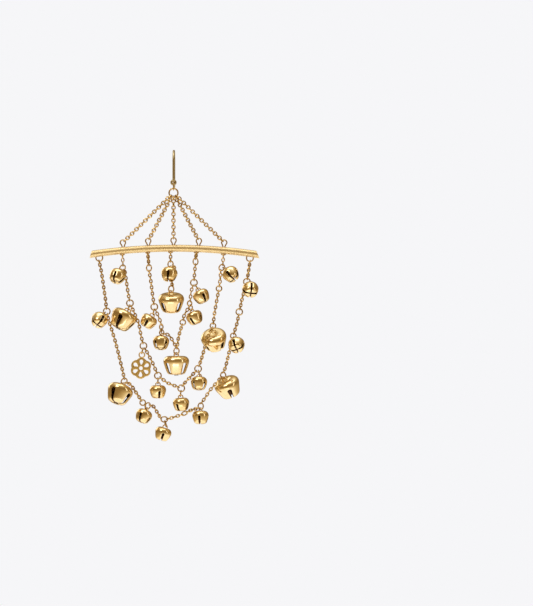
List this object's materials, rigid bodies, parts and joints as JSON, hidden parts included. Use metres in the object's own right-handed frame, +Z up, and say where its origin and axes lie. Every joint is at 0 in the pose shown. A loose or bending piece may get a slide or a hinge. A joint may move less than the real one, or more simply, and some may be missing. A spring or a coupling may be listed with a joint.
{
  "type": "chandelier earring",
  "caption": "Chandelier earring: a fish-hook ear wire, fanned chains, an arched bar and swags of chain hung with jingle bells.",
  "frame": {"origin": "inner side of the ear hook's crown, where it rests in the ear", "axes": "+Z up, -Y towards the viewer in front of the wearer, +X to the viewer's right along the bar"},
  "size_m": [0.0654, 0.0163, 0.1122],
  "materials": {
    "hook_gold": "pale gold plate, drawn wire",
    "satin_gold": "satin gold plate, brushed along its length",
    "chain_gold": "bright gold plate",
    "bell_gold": "polished gold plate"
  },
  "bodies": {
    "hook": {"ear_hook": "hook_gold"},
    "drop": {"hook_link": "chain_gold", "top_ring": "chain_gold", "upper_chain_1": "chain_gold", "upper_chain_2": "chain_gold", "upper_chain_3": "chain_gold", "upper_chain_4": "chain_gold", "upper_chain_5": "chain_gold", "arched_bar": "satin_gold", "outer_strand": "chain_gold", "middle_strand": "chain_gold", "inner_strand": "chain_gold", "centre_strand": "chain_gold", "small_bell_01": "bell_gold", "small_bell_02": "bell_gold", "small_bell_03": "bell_gold", "small_bell_04": "bell_gold", "small_bell_05": "bell_gold", "small_bell_06": "bell_gold", "small_bell_07": "bell_gold", "small_bell_08": "bell_gold", "small_bell_09": "bell_gold", "small_bell_10": "bell_gold", "small_bell_11": "bell_gold", "small_bell_12": "bell_gold", "small_bell_13": "bell_gold", "small_bell_14": "bell_gold", "small_bell_15": "bell_gold", "small_bell_16": "bell_gold", "large_bell_01": "bell_gold", "large_bell_02": "bell_gold", "large_bell_03": "bell_gold", "large_bell_04": "bell_gold", "large_bell_05": "bell_gold", "large_bell_06": "bell_gold", "pierced_rosette": "satin_gold"}
  },
  "joints": [
    {"name": "drop_swing", "type": "hinge", "parent": "hook", "child": "drop", "pos_m": [0, -0.0042, -0.01268], "axis": [1, 0, 0], "range_deg": [-40, 40]}
  ]
}
